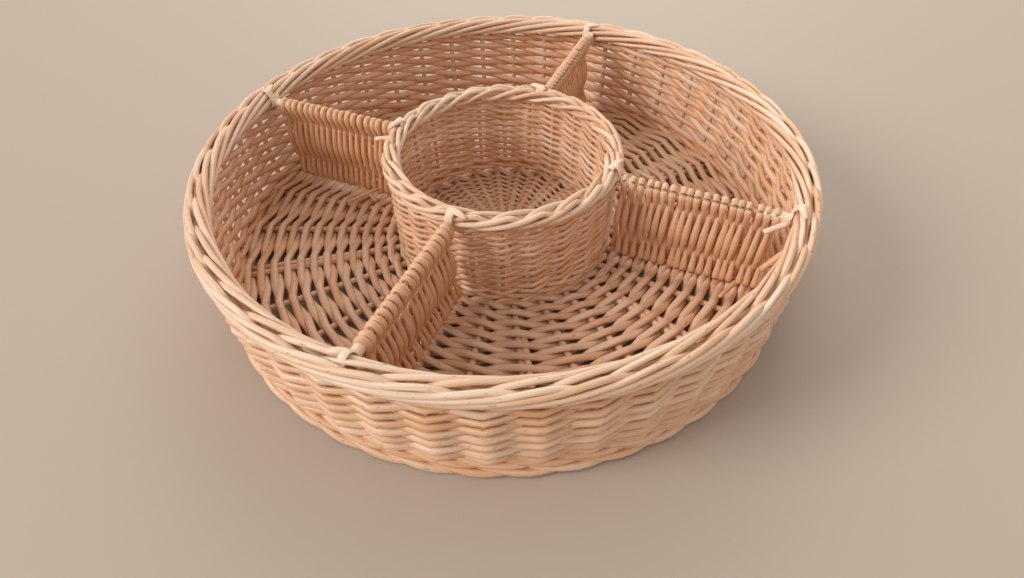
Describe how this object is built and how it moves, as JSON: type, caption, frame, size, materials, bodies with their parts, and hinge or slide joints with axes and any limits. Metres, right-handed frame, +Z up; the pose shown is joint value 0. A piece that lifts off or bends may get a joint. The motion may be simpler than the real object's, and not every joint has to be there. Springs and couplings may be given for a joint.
{
  "type": "woven fruit basket",
  "caption": "Round woven willow serving basket with a low flared wall, a rod border, radial woven dividers and a woven cup in the middle.",
  "frame": {"origin": "middle of the foot ring, on the table", "axes": "+Z up along the basket's axis, +X and +Y along two of the dividers"},
  "size_m": [0.404, 0.404, 0.087],
  "materials": {
    "wall_willow": "peeled willow, satin",
    "border_willow": "peeled willow, satin",
    "base_willow": "peeled willow, satin",
    "cup_willow": "peeled willow, satin",
    "divider_willow": "peeled willow, satin",
    "divider_rod": "peeled willow, satin",
    "skein": "split willow skein, matt"
  },
  "bodies": {
    "root": {"base_sticks": "base_willow", "base_weave_1": "base_willow", "base_weave_2": "base_willow", "cup_rim_rod_1": "border_willow", "cup_rim_rod_2": "border_willow", "cup_stakes": "cup_willow", "cup_weave_01": "cup_willow", "cup_weave_02": "cup_willow", "cup_weave_03": "cup_willow", "cup_weave_04": "cup_willow", "cup_weave_05": "cup_willow", "cup_weave_06": "cup_willow", "cup_weave_07": "cup_willow", "cup_weave_08": "cup_willow", "divider_1_cup_tie": "skein", "divider_1_low_rod": "divider_rod", "divider_1_mid_rod": "divider_rod", "divider_1_rail": "divider_rod", "divider_1_rim_tie": "skein", "divider_1_weave": "divider_willow", "divider_2_cup_tie": "skein", "divider_2_low_rod": "divider_rod", "divider_2_mid_rod": "divider_rod", "divider_2_rail": "divider_rod", "divider_2_rim_tie": "skein", "divider_2_weave": "divider_willow", "divider_3_cup_tie": "skein", "divider_3_low_rod": "divider_rod", "divider_3_mid_rod": "divider_rod", "divider_3_rail": "divider_rod", "divider_3_rim_tie": "skein", "divider_3_weave": "divider_willow", "divider_4_cup_tie": "skein", "divider_4_low_rod": "divider_rod", "divider_4_mid_rod": "divider_rod", "divider_4_rail": "divider_rod", "divider_4_rim_tie": "skein", "divider_4_weave": "divider_willow", "outer_stakes": "wall_willow", "rim_rod_1": "border_willow", "rim_rod_2": "border_willow", "rim_rod_3": "border_willow", "side_weave_01": "wall_willow", "side_weave_02": "wall_willow", "side_weave_03": "wall_willow", "side_weave_04": "wall_willow", "side_weave_05": "wall_willow", "side_weave_06": "wall_willow", "side_weave_07": "wall_willow", "side_weave_08": "wall_willow", "side_weave_09": "wall_willow", "side_weave_10": "wall_willow"}
  },
  "joints": []
}
